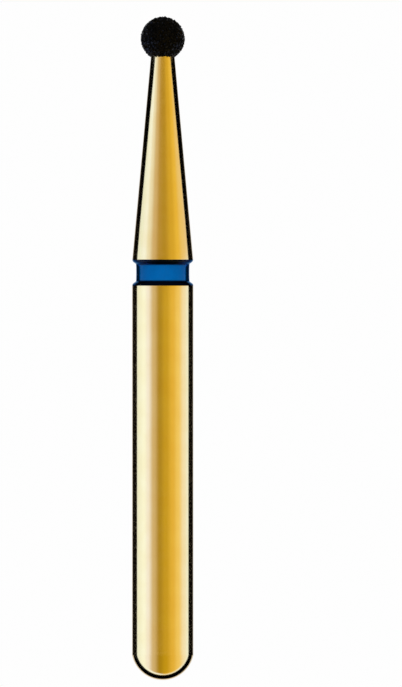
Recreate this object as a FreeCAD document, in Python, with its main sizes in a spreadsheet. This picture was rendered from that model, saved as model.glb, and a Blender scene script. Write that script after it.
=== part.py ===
"""Round diamond dental bur on a 1.6 mm friction-grip shank, in millimetres.

The bur stands on the butt of its shank: +Z runs up its axis to the head, and the origin is the lowest
point of the domed butt. Four pieces make it up:

    turned_blank    steel turned in one piece: shank, band groove, tapered neck and ball core
    colour_ring     lacquer that fills the bottom of the band groove
    nickel_bond     shell plated round the ball core, with a socket for every grain
    diamond_grains  separate octahedral crystals that stand on the ball core and out of the bond

Every size is a cell of the sheet "Sizes", and sketches, primitives and placements are bound to its
cells.
"""

import FreeCAD, Part
import enum
import math
import os

import Sketcher

# Alias, value and what it sets. Lengths are in millimetres and angles in degrees.
SIZES = (
    ("shank_diameter", 1.6, "friction-grip shank, across"),
    ("shank_length", 10.35, "butt to the lower rim of the band groove"),
    ("butt_height", 0.65, "height of the domed butt"),
    ("groove_width", 0.6, "band groove between its rims"),
    ("flank_angle", 35.0, "lean of the groove's flanks out of the square"),
    ("ring_recess", 0.1, "shank's surface down to the lacquer's edge"),
    ("ring_thickness", 0.06, "lacquer's edge down to the groove's floor"),
    ("ring_meniscus", 0.01, "dip in the middle of the lacquer"),
    ("edge_break", 0.03, "chamfer on the groove's two rims"),
    ("neck_length", 5.45, "upper rim of the groove to the neck's tip"),
    ("neck_tip_diameter", 0.6, "neck where it meets the ball core"),
    ("head_diameter", 1.2, "ball over the tips of its grains"),
    ("grain_size", 0.125, "largest grain, corner to corner"),
    ("grain_spread", 0.02, "how much smaller the smallest grain is"),
    ("grain_exposure", 0.05, "how far the largest grain stands out of the bond"),
    ("grain_gap", 0.005, "least space between neighbouring grains"),
)

# Measures that several pieces share, written once in terms of the sheet's cells.
SHANK_RADIUS = "Sizes.shank_diameter / 2"
GROOVE_DEPTH = "(Sizes.ring_recess + Sizes.ring_thickness)"
FLANK_LEAN = "tan(Sizes.flank_angle * 1deg)"
NECK_BASE_HEIGHT = "(Sizes.shank_length + Sizes.groove_width)"
NECK_TIP_HEIGHT = f"({NECK_BASE_HEIGHT} + Sizes.neck_length)"
TIP_RADIUS = "Sizes.neck_tip_diameter / 2"
CORE_RADIUS = "(Sizes.head_diameter / 2 - Sizes.grain_size)"
BOND_RADIUS = "(Sizes.head_diameter / 2 - Sizes.grain_exposure)"
HEAD_HEIGHT = f"({NECK_TIP_HEIGHT} + sqrt({CORE_RADIUS}^2 - ({TIP_RADIUS})^2))"


class At(enum.IntEnum):
    """A point of a sketched edge, as its constraints number it."""

    START = 1
    END = 2
    CENTRE = 3


class Guide(enum.IntEnum):
    """One of a sketch's own axes, as its constraints number them. Both start at the origin."""

    LEVEL_AXIS = -1
    UPRIGHT_AXIS = -2


ORIGIN = (Guide.LEVEL_AXIS, At.START)
FULL_TURN = 360
LEAST_CUT_SHARE = 1e-6
MATCH = 1e-5

# A golden spiral spreads the grains over the ball: each one turns on by the golden angle from the last.
# With n points on a ball of radius 1, no two of them are nearer than SPIRAL_SPACING / sqrt(n).
GOLDEN_SHARE = (math.sqrt(5) - 1) / 2
GOLDEN_ANGLE = 2 * math.pi * (1 - GOLDEN_SHARE)
SPIRAL_SPACING = 3.09
# Yaw, pitch and roll from one grain to the next, in degrees, so that no two lie alike.
TUMBLE = (137, 71, 29)


def make_sheet(doc):
    """The sheet that holds the driving dimensions, one row each: name, value and meaning."""
    sheet = doc.addObject("Spreadsheet::Sheet", "Sizes")
    for row, (alias, value, meaning) in enumerate(SIZES, start=1):
        sheet.set(f"A{row}", alias)
        sheet.set(f"B{row}", str(value))
        sheet.set(f"C{row}", meaning)
        sheet.setAlias(f"B{row}", alias)
    doc.recompute()
    return sheet


def measure(sheet, expression):
    """The value of one of the shared measures above."""
    return float(sheet.evalExpression(expression))


def new_body(doc, label):
    body = doc.addObject("PartDesign::Body", label)
    body.Label = label
    return body


def axial_sketch(body, name):
    """A sketch in the body's own XZ plane, so that its vertical axis is the bur's axis."""
    sketch = body.newObject("Sketcher::SketchObject", name)
    plane = next(item for item in body.Origin.OriginFeatures if item.Role == "XZ_Plane")
    sketch.AttachmentSupport = (plane, [""])
    sketch.MapMode = "FlatFace"
    return sketch


def point(radius, height):
    """A point of a half-section, by its distance from the axis and its height."""
    return FreeCAD.Vector(radius, height, 0)


def draw(sketch, *edges):
    """Draws a closed outline, joins each edge to the next and returns the edges' numbers."""
    numbers = sketch.addGeometry(list(edges), False)
    for this, following in zip(numbers, numbers[1:] + numbers[:1]):
        sketch.addConstraint(Sketcher.Constraint("Coincident", this, At.END, following, At.START))
    return numbers


def bind(sketch, name, kind, places, start_value, expression):
    """Adds a named dimension to a sketch and binds it to the sheet."""
    number = sketch.addConstraint(Sketcher.Constraint(kind, *places, start_value))
    sketch.renameConstraint(number, name)
    sketch.setExpression(f"Constraints.{name}", expression)


def revolve(body, sketch, kind, name):
    """Turns a sketch all the way round the axis, as a Revolution or a Groove."""
    feature = body.newObject(f"PartDesign::{kind}", name)
    feature.Profile = sketch
    feature.ReferenceAxis = (sketch, ["V_Axis"])
    feature.Angle = FULL_TURN
    body.Document.recompute()
    return feature


def blank_outline(body, sheet):
    """Half-section of the blank before it is grooved: domed butt, shank, neck and ball core."""
    shank_radius = measure(sheet, SHANK_RADIUS)
    butt_height = sheet.butt_height
    neck_base = measure(sheet, NECK_BASE_HEIGHT)
    neck_tip = measure(sheet, NECK_TIP_HEIGHT)
    tip_radius = measure(sheet, TIP_RADIUS)
    core_radius = measure(sheet, CORE_RADIUS)
    head_height = measure(sheet, HEAD_HEIGHT)
    dome_radius = (shank_radius**2 + butt_height**2) / (2 * butt_height)
    half_reach = math.atan2(shank_radius, dome_radius - butt_height) / 2
    dome_middle = point(dome_radius * math.sin(half_reach), dome_radius * (1 - math.cos(half_reach)))

    sketch = axial_sketch(body, "blank_outline")
    butt, side, cone, ball, axis = draw(
        sketch,
        Part.Arc(point(0, 0), dome_middle, point(shank_radius, butt_height)),
        Part.LineSegment(point(shank_radius, butt_height), point(shank_radius, neck_base)),
        Part.LineSegment(point(shank_radius, neck_base), point(tip_radius, neck_tip)),
        Part.Arc(
            point(tip_radius, neck_tip),
            point(core_radius, head_height),
            point(0, head_height + core_radius),
        ),
        Part.LineSegment(point(0, head_height + core_radius), point(0, 0)),
    )
    sketch.addConstraint(Sketcher.Constraint("Coincident", butt, At.START, *ORIGIN))
    sketch.addConstraint(Sketcher.Constraint("Vertical", side))
    for place in ((butt, At.CENTRE), (ball, At.CENTRE), (ball, At.END)):
        sketch.addConstraint(Sketcher.Constraint("PointOnObject", *place, Guide.UPRIGHT_AXIS))
    bind(sketch, "shank_radius", "DistanceX", (*ORIGIN, side, At.START), shank_radius, SHANK_RADIUS)
    bind(sketch, "butt_height", "DistanceY", (*ORIGIN, side, At.START), butt_height, "Sizes.butt_height")
    bind(sketch, "neck_base", "DistanceY", (*ORIGIN, side, At.END), neck_base, NECK_BASE_HEIGHT)
    bind(sketch, "neck_tip", "DistanceY", (*ORIGIN, cone, At.END), neck_tip, NECK_TIP_HEIGHT)
    bind(sketch, "tip_radius", "DistanceX", (*ORIGIN, cone, At.END), tip_radius, TIP_RADIUS)
    bind(sketch, "core_radius", "Radius", (ball,), core_radius, CORE_RADIUS)
    return sketch


def groove_outline(body, sheet):
    """Half-section of the band groove: a flat floor between two flanks that lean outwards."""
    mouth_radius = measure(sheet, SHANK_RADIUS)
    depth = measure(sheet, GROOVE_DEPTH)
    run = depth * measure(sheet, FLANK_LEAN)
    low = sheet.shank_length
    high = measure(sheet, NECK_BASE_HEIGHT)
    floor_radius = mouth_radius - depth

    sketch = axial_sketch(body, "groove_outline")
    lower, floor, upper, mouth = draw(
        sketch,
        Part.LineSegment(point(mouth_radius, low), point(floor_radius, low + run)),
        Part.LineSegment(point(floor_radius, low + run), point(floor_radius, high - run)),
        Part.LineSegment(point(floor_radius, high - run), point(mouth_radius, high)),
        Part.LineSegment(point(mouth_radius, high), point(mouth_radius, low)),
    )
    for edge in (floor, mouth):
        sketch.addConstraint(Sketcher.Constraint("Vertical", edge))
    flank_run = f"{GROOVE_DEPTH} * {FLANK_LEAN}"
    bind(sketch, "mouth_radius", "DistanceX", (*ORIGIN, lower, At.START), mouth_radius, SHANK_RADIUS)
    bind(sketch, "lower_rim", "DistanceY", (*ORIGIN, lower, At.START), low, "Sizes.shank_length")
    bind(sketch, "upper_rim", "DistanceY", (*ORIGIN, upper, At.END), high, NECK_BASE_HEIGHT)
    bind(sketch, "depth", "DistanceX", (floor, At.START, lower, At.START), depth, GROOVE_DEPTH)
    bind(sketch, "lower_run", "DistanceY", (lower, At.START, lower, At.END), run, flank_run)
    bind(sketch, "upper_run", "DistanceY", (upper, At.START, upper, At.END), run, flank_run)
    return sketch


def groove_rims(shape, sheet):
    """Names of the two sharp rims where the band groove opens onto the shank and the neck."""
    heights = (sheet.shank_length, measure(sheet, NECK_BASE_HEIGHT))
    rims = []
    for number, edge in enumerate(shape.Edges, start=1):
        box = edge.BoundBox
        level = box.ZLength < MATCH and any(abs(box.ZMin - height) < MATCH for height in heights)
        if level and edge.Curve.TypeId == "Part::GeomCircle":
            rims.append(f"Edge{number}")
    return rims


def turned_blank(doc, sheet):
    """The steel blank: revolved, grooved for the band, and the groove's rims broken."""
    body = new_body(doc, "turned_blank")
    turned = revolve(body, blank_outline(body, sheet), "Revolution", "turned_outline")
    grooved = revolve(body, groove_outline(body, sheet), "Groove", "band_groove")
    if grooved.Shape.Volume > turned.Shape.Volume * (1 - LEAST_CUT_SHARE):
        raise RuntimeError("the band groove cuts nothing")
    rims = body.newObject("PartDesign::Chamfer", "broken_rims")
    rims.Base = (grooved, groove_rims(grooved.Shape, sheet))
    rims.setExpression("Size", "Sizes.edge_break")
    body.Tip = rims
    doc.recompute()
    return body


def colour_ring(doc, sheet):
    """The lacquer: it lies on the groove's floor, and its face dips a little between the flanks."""
    lean = measure(sheet, FLANK_LEAN)
    face_radius = measure(sheet, SHANK_RADIUS) - sheet.ring_recess
    floor_radius = face_radius - sheet.ring_thickness
    face_low = sheet.ring_recess * lean
    face_high = sheet.groove_width - face_low
    floor_low = measure(sheet, GROOVE_DEPTH) * lean
    floor_high = sheet.groove_width - floor_low
    middle = sheet.groove_width / 2
    half_face = middle - face_low
    dip_radius = (half_face**2 + sheet.ring_meniscus**2) / (2 * sheet.ring_meniscus)

    body = new_body(doc, "colour_ring")
    sketch = axial_sketch(body, "ring_outline")
    floor, upper, face, lower = draw(
        sketch,
        Part.LineSegment(point(floor_radius, floor_low), point(floor_radius, floor_high)),
        Part.LineSegment(point(floor_radius, floor_high), point(face_radius, face_high)),
        Part.Arc(
            point(face_radius, face_high),
            point(face_radius - sheet.ring_meniscus, middle),
            point(face_radius, face_low),
        ),
        Part.LineSegment(point(face_radius, face_low), point(floor_radius, floor_low)),
    )
    sketch.addConstraint(Sketcher.Constraint("Vertical", floor))
    floor_run = f"{GROOVE_DEPTH} * {FLANK_LEAN}"
    face_run = f"Sizes.ring_recess * {FLANK_LEAN}"
    half_width = f"(Sizes.groove_width / 2 - {face_run})"
    dip = f"({half_width}^2 + Sizes.ring_meniscus^2) / (2 * Sizes.ring_meniscus)"
    reach = f"{SHANK_RADIUS} - Sizes.ring_recess"
    bind(sketch, "floor_radius", "DistanceX", (*ORIGIN, floor, At.START), floor_radius,
         f"{SHANK_RADIUS} - {GROOVE_DEPTH}")
    bind(sketch, "floor_low", "DistanceY", (*ORIGIN, floor, At.START), floor_low, floor_run)
    bind(sketch, "floor_high", "DistanceY", (*ORIGIN, floor, At.END), floor_high,
         f"Sizes.groove_width - {floor_run}")
    bind(sketch, "face_low_radius", "DistanceX", (*ORIGIN, lower, At.START), face_radius, reach)
    bind(sketch, "face_low", "DistanceY", (*ORIGIN, lower, At.START), face_low, face_run)
    bind(sketch, "face_high_radius", "DistanceX", (*ORIGIN, upper, At.END), face_radius, reach)
    bind(sketch, "face_high", "DistanceY", (*ORIGIN, upper, At.END), face_high,
         f"Sizes.groove_width - {face_run}")
    bind(sketch, "dip_radius", "Radius", (face,), dip_radius, dip)
    body.Tip = revolve(body, sketch, "Revolution", "laid_lacquer")
    body.setExpression("Placement.Base.z", "Sizes.shank_length")
    doc.recompute()
    return body


def octahedron(size):
    """A regular octahedron round the origin, size across from corner to corner."""
    reach = size / 2
    poles = [FreeCAD.Vector(0, 0, reach), FreeCAD.Vector(0, 0, -reach)]
    waist = [
        FreeCAD.Vector(reach, 0, 0),
        FreeCAD.Vector(0, reach, 0),
        FreeCAD.Vector(-reach, 0, 0),
        FreeCAD.Vector(0, -reach, 0),
    ]
    faces = []
    for pole in poles:
        for this, following in zip(waist, waist[1:] + waist[:1]):
            faces.append(Part.Face(Part.makePolygon([pole, this, following, pole])))
    solid = Part.Solid(Part.Shell(faces))
    if solid.Volume < 0:
        solid.reverse()
    return solid


def clears_neck(sheet, centre, size):
    """Whether a grain at centre, measured from the ball's centre, keeps its gap to the neck."""
    tip_radius = measure(sheet, TIP_RADIUS)
    tip_depth = measure(sheet, HEAD_HEIGHT) - measure(sheet, NECK_TIP_HEIGHT)
    taper = (measure(sheet, SHANK_RADIUS) - tip_radius) / sheet.neck_length
    neck_radius = tip_radius + (-centre.z - tip_depth) * taper
    space = (math.hypot(centre.x, centre.y) - neck_radius) * math.cos(math.atan(taper))
    return centre.z > 0 or space >= size / 2 + sheet.grain_gap


def diamond_grains(doc, sheet):
    """The grit: one layer of crystals on a golden spiral, each tumbled and of its own size."""
    core_radius = measure(sheet, CORE_RADIUS)
    layer_radius = core_radius + sheet.grain_size / 2
    pitch = sheet.grain_size + sheet.grain_gap
    count = int((SPIRAL_SPACING * layer_radius / pitch) ** 2)
    grains = []
    for index in range(count):
        size = sheet.grain_size - sheet.grain_spread * (index * GOLDEN_SHARE % 1)
        height = 1 - (2 * index + 1) / count
        around = index * GOLDEN_ANGLE
        across = math.sqrt(1 - height**2)
        outward = FreeCAD.Vector(across * math.cos(around), across * math.sin(around), height)
        centre = outward * (core_radius + size / 2)
        if clears_neck(sheet, centre, size):
            grain = octahedron(size)
            grain.Placement = FreeCAD.Placement(centre, FreeCAD.Rotation(*(index * turn for turn in TUMBLE)))
            grains.append(grain)
    feature = doc.addObject("Part::Feature", "diamond_grains")
    feature.Label = "diamond_grains"
    feature.Shape = Part.makeCompound(grains)
    feature.setExpression("Placement.Base.z", HEAD_HEIGHT)
    doc.recompute()
    return feature


def nickel_bond(doc, blank, grains):
    """The plated shell: a ball less the blank inside it and less a socket for every grain."""
    ball = doc.addObject("Part::Sphere", "bond_ball")
    ball.setExpression("Radius", BOND_RADIUS)
    ball.setExpression("Placement.Base.z", HEAD_HEIGHT)
    shell = doc.addObject("Part::Cut", "bond_shell")
    shell.Base = ball
    shell.Tool = blank
    bond = doc.addObject("Part::Cut", "nickel_bond")
    bond.Label = "nickel_bond"
    bond.Base = shell
    bond.Tool = grains
    doc.recompute()
    if bond.Shape.Volume > shell.Shape.Volume * (1 - LEAST_CUT_SHARE):
        raise RuntimeError("the grains cut no sockets in the bond")
    return bond


def check(doc, pieces):
    """Stops before anything is written if an object failed or a piece has no sound solid."""
    for item in doc.Objects:
        if {"Invalid", "Error"} & set(item.State):
            raise RuntimeError(f"{item.Name} failed: {item.State}")
    for piece in pieces:
        if piece.Shape.isNull() or not piece.Shape.isValid() or not piece.Shape.Solids:
            raise RuntimeError(f"{piece.Label} is not a sound solid")


def main():
    doc = FreeCAD.newDocument("dental_bur")
    sheet = make_sheet(doc)
    blank = turned_blank(doc, sheet)
    ring = colour_ring(doc, sheet)
    grains = diamond_grains(doc, sheet)
    bond = nickel_bond(doc, blank, grains)
    pieces = (blank, ring, bond, grains)
    check(doc, pieces)
    os.makedirs("parts", exist_ok=True)
    for piece in pieces:
        piece.Shape.exportStep(f"parts/{piece.Label}.step")
        print(piece.Label, len(piece.Shape.Solids), "solids", round(piece.Shape.Volume, 4), "mm3")


main()
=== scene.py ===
"""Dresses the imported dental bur: gold plating, lacquer, plated bond and grit, in a pale studio.

The bur stands on its butt with its axis up +Z, as the frame has it. Every length is in metres.
"""

import logging
import math
from dataclasses import dataclass, field
from enum import Enum
from typing import Any

import bmesh
import bpy
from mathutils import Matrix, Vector

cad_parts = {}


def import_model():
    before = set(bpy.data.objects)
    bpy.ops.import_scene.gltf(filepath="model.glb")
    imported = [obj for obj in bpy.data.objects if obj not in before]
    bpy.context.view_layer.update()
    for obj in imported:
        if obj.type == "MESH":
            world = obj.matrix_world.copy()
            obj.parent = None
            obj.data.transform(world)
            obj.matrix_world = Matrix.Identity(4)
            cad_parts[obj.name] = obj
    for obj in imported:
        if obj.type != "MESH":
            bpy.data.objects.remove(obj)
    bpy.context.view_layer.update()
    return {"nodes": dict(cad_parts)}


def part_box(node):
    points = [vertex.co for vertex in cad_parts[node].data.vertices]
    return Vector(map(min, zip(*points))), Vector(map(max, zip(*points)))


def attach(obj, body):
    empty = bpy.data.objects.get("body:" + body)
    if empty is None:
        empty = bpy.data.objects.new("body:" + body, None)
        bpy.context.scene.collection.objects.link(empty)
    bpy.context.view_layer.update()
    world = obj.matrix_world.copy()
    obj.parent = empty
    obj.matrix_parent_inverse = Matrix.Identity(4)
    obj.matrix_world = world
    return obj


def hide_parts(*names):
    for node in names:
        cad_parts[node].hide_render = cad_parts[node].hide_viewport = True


LOG = logging.getLogger("dental_bur")

MM = 0.001
MICRON = 0.000001
BODY = "root"

Colour = tuple[float, float, float]
Point = tuple[float, float]
Socket = bpy.types.NodeSocket


class Slot(Enum):
    """The record's material slots, one for each finish of the bur."""

    PLATING = "gold_plated_steel"
    LACQUER = "blue_lacquer"
    BOND = "nickel_bond"
    GRIT = "diamond_grit"


class Node(Enum):
    """The frame's nodes."""

    BLANK = "turned_blank"
    RING = "colour_ring"
    BOND = "nickel_bond"
    GRAINS = "diamond_grains"


class Tree:
    """A node tree under construction, for shaders and for geometry alike."""

    def __init__(self, tree: bpy.types.NodeTree) -> None:
        """Takes over a tree and empties it."""
        self.tree = tree
        self.tree.nodes.clear()

    def add(self, kind: str, inputs: dict[Any, Any] | None = None, **settings: Any) -> bpy.types.Node:
        """Adds a node and fills its inputs.

        Args:
            kind: the node's type name.
            inputs: a value, or another node's output to link, for each input by name or number.
            settings: the node's own properties, set before its inputs.

        Returns:
            The new node.
        """
        node = self.tree.nodes.new(kind)
        for name, value in settings.items():
            setattr(node, name, value)
        for key, value in (inputs or {}).items():
            self.fill(node.inputs[key], value)
        return node

    def fill(self, socket: Socket, value: Any) -> None:
        """Links an output to an input, or sets the input to a number, vector or colour."""
        if isinstance(value, Socket):
            self.tree.links.new(value, socket)
        elif socket.type == "RGBA":
            socket.default_value = (*value, 1.0)
        else:
            socket.default_value = value

    def math(self, operation: str, *values: Any) -> Socket:
        """Adds a Math node on numbers or outputs and returns its output."""
        node = self.add("ShaderNodeMath", dict(enumerate(values)), operation=operation)
        return node.outputs[0]

    def vector(self, operation: str, *values: Any, output: str = "Vector") -> Socket:
        """Adds a Vector Math node on vectors or outputs and returns one of its outputs."""
        node = self.add("ShaderNodeVectorMath", dict(enumerate(values)), operation=operation)
        return node.outputs[output]

    def scaled(self, vector: Socket, factor: Any) -> Socket:
        """Adds a Vector Math node that scales a vector by a number and returns its output."""
        node = self.add("ShaderNodeVectorMath", {0: vector, "Scale": factor}, operation="SCALE")
        return node.outputs[0]

    def split(self, vector: Socket) -> bpy.types.NodeOutputs:
        """Adds a node that takes a vector apart and returns its three outputs."""
        return self.add("ShaderNodeSeparateXYZ", {"Vector": vector}).outputs

    def remap(
        self, value: Any, low: float, high: float, to_low: float = 0.0, to_high: float = 1.0
    ) -> Socket:
        """Eases one value from a result to another over a range, and holds it at the ends.

        Args:
            value: the output to read.
            low: where the range starts.
            high: where it ends.
            to_low: the result at its start.
            to_high: the result at its end.

        Returns:
            The result's output.
        """
        node = self.add(
            "ShaderNodeMapRange",
            {"Value": value, "From Min": low, "From Max": high, "To Min": to_low, "To Max": to_high},
            interpolation_type="SMOOTHSTEP",
        )
        return node.outputs["Result"]

    def blend(self, share: Any, first: Any, second: Any) -> Socket:
        """Mixes two colours, the second by the given share, and returns the colour's output."""
        node = self.add("ShaderNodeMix", data_type="RGBA")
        sockets = {"Factor_Float": share, "A_Color": first, "B_Color": second}
        for socket in node.inputs:
            if socket.identifier in sockets:
                self.fill(socket, sockets[socket.identifier])
        return next(socket for socket in node.outputs if socket.identifier == "Result_Color")

    def noise(self, place: Socket, scale: Any, detail: float) -> Socket:
        """Adds a Noise Texture at a place and returns its value, from 0 to 1."""
        node = self.add("ShaderNodeTexNoise", {"Vector": place, "Scale": scale, "Detail": detail})
        return node.outputs[0]


def new_material(name: str) -> tuple[bpy.types.Material, Tree]:
    """Makes an empty material and gives back its tree with it."""
    material = bpy.data.materials.new(name)
    material.use_nodes = True
    return material, Tree(material.node_tree)


def new_mesh(name: str, build: bmesh.types.BMesh) -> bpy.types.Mesh:
    """Makes a mesh of a finished build, which is used up."""
    mesh = bpy.data.meshes.new(name)
    build.to_mesh(mesh)
    build.free()
    return mesh


def new_object(name: str, data: bpy.types.ID) -> bpy.types.Object:
    """Makes an object of a mesh or a camera and puts it in the scene."""
    made = bpy.data.objects.new(name, data)
    bpy.context.scene.collection.objects.link(made)
    return made


class Effects:
    """Shader groups that more than one finish uses, each built once.

    Attributes:
        LINE_DETAIL: octaves of noise in the lathe lines.
        CLOUD_DETAIL: the same in the mottle.
        CLOUD_RANGE: the noise values that become the mottle's low and high ends.
    """

    LINE_DETAIL = 3.0
    CLOUD_DETAIL = 4.0
    CLOUD_RANGE = (0.3, 0.7)

    def __init__(self) -> None:
        """Builds both groups."""
        self.lathe_lines = self._lathe_lines()
        self.mottle = self._mottle()

    @staticmethod
    def _group(name: str, inputs: dict[str, float], output: str) -> bpy.types.NodeTree:
        """Makes an empty shader group with the named number sockets."""
        group = bpy.data.node_groups.new(name, "ShaderNodeTree")
        for label, value in inputs.items():
            socket = group.interface.new_socket(label, in_out="INPUT", socket_type="NodeSocketFloat")
            socket.default_value = value
        group.interface.new_socket(output, in_out="OUTPUT", socket_type="NodeSocketFloat")
        return group

    def _lathe_lines(self) -> bpy.types.NodeTree:
        """Fine lines round the axis, as grinding or a brush leaves on a thing that spins.

        Returns:
            A group with inputs Pitch and Drift, in metres, and an output Height from 0 to 1.
        """
        group = self._group("lathe_lines", {"Pitch": 0.02 * MM, "Drift": 2 * MM}, "Height")
        tree = Tree(group)
        given = tree.add("NodeGroupInput").outputs
        along = tree.split(tree.add("ShaderNodeTexCoord").outputs["Object"])
        across = tree.math("DIVIDE", 1.0, given["Drift"])
        stretched = tree.add(
            "ShaderNodeCombineXYZ",
            {
                "X": tree.math("MULTIPLY", along["X"], across),
                "Y": tree.math("MULTIPLY", along["Y"], across),
                "Z": tree.math("DIVIDE", along["Z"], given["Pitch"]),
            },
        ).outputs[0]
        lines = tree.noise(stretched, 1.0, self.LINE_DETAIL)
        tree.add("NodeGroupOutput", {"Height": lines})
        return group

    def _mottle(self) -> bpy.types.NodeTree:
        """Soft cloudy change over a surface, for colour, gloss and fine relief.

        Returns:
            A group with inputs Size, in metres, Low and High, and an output Value between them.
        """
        group = self._group("mottle", {"Size": 0.2 * MM, "Low": 0.0, "High": 1.0}, "Value")
        tree = Tree(group)
        given = tree.add("NodeGroupInput").outputs
        place = tree.add("ShaderNodeTexCoord").outputs["Object"]
        cloud = tree.noise(place, tree.math("DIVIDE", 1.0, given["Size"]), self.CLOUD_DETAIL)
        spread = tree.remap(cloud, *self.CLOUD_RANGE)
        span = tree.math("SUBTRACT", given["High"], given["Low"])
        value = tree.math("MULTIPLY_ADD", spread, span, given["Low"])
        tree.add("NodeGroupOutput", {"Value": value})
        return group


@dataclass(frozen=True)
class Finish:
    """What every finish has: a name and the material's own tree.

    Attributes:
        name: the material's name.
    """

    name: str = "finish"

    def make(self, effects: Effects) -> bpy.types.Material:
        """Builds the material from the finish's own values.

        Args:
            effects: the shared shader groups.

        Returns:
            The material.
        """
        material, tree = new_material(self.name)
        shader = tree.add("ShaderNodeBsdfPrincipled")
        tree.add("ShaderNodeOutputMaterial", {"Surface": shader.outputs[0]})
        self.dress(tree, shader, effects)
        return material

    def dress(self, tree: Tree, shader: bpy.types.Node, effects: Effects) -> None:
        """Fills the shader's sockets. Each finish has its own."""
        raise NotImplementedError

    @staticmethod
    def mottled(
        tree: Tree, effects: Effects, size: float, low: float = 0.0, high: float = 1.0
    ) -> Socket:
        """Places the mottle group in a material and returns its value, from low to high."""
        node = tree.add("ShaderNodeGroup", node_tree=effects.mottle)
        node.inputs["Size"].default_value = size
        node.inputs["Low"].default_value = low
        node.inputs["High"].default_value = high
        return node.outputs["Value"]

    @staticmethod
    def lined(tree: Tree, effects: Effects, pitch: float, drift: float) -> Socket:
        """Places the lathe-lines group in a material and returns its height."""
        node = tree.add("ShaderNodeGroup", node_tree=effects.lathe_lines)
        node.inputs["Pitch"].default_value = pitch
        node.inputs["Drift"].default_value = drift
        return node.outputs["Height"]

    @staticmethod
    def relief(tree: Tree, shader: bpy.types.Node, height: Any, depth: float) -> None:
        """Feeds a height from 0 to 1, that many metres deep, to the shader's normal."""
        bump = tree.add("ShaderNodeBump", {"Height": height, "Strength": 1.0, "Distance": depth})
        tree.fill(shader.inputs["Normal"], bump.outputs["Normal"])


@dataclass(frozen=True)
class GoldPlating(Finish):
    """Bright gold over ground steel, with fine lines round the axis.

    Attributes:
        colour: the plating where it is clean.
        warm: the plating where it is a little thicker.
        cloud_size: size of the patches of either.
        polish: roughness of the smoothest stretches.
        haze: roughness of the dullest.
        line_pitch: spacing of the grinding lines.
        line_depth: their depth.
        line_drift: how far round the axis a line runs before it changes.
        line_range: heights of the lines over which polish goes over to haze.
        turn_pitch: spacing of the faint turning marks under them.
        turn_range: heights of the marks over which one sets in.
        turn_haze: roughness that a turning mark adds.
    """

    name: str = "gold_plating"
    colour: Colour = (0.955, 0.65, 0.21)
    warm: Colour = (0.94, 0.62, 0.185)
    cloud_size: float = 0.6 * MM
    polish: float = 0.08
    haze: float = 0.14
    line_pitch: float = 0.016 * MM
    line_depth: float = 0.03 * MICRON
    line_drift: float = 3 * MM
    line_range: Point = (0.35, 0.7)
    turn_pitch: float = 0.11 * MM
    turn_range: Point = (0.45, 0.7)
    turn_haze: float = 0.02

    def dress(self, tree: Tree, shader: bpy.types.Node, effects: Effects) -> None:
        """Sets a metal whose tint, gloss and lines change along the bur."""
        shader.inputs["Metallic"].default_value = 1.0
        tint = self.mottled(tree, effects, self.cloud_size)
        tree.fill(shader.inputs["Base Color"], tree.blend(tint, self.colour, self.warm))
        lines = self.lined(tree, effects, self.line_pitch, self.line_drift)
        marks = self.lined(tree, effects, self.turn_pitch, self.line_drift)
        gloss = tree.remap(lines, *self.line_range, self.polish, self.haze)
        marked = tree.remap(marks, *self.turn_range)
        dulled = tree.math("MULTIPLY_ADD", marked, self.turn_haze, gloss)
        tree.fill(shader.inputs["Roughness"], dulled)
        self.relief(tree, shader, lines, self.line_depth)


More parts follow.
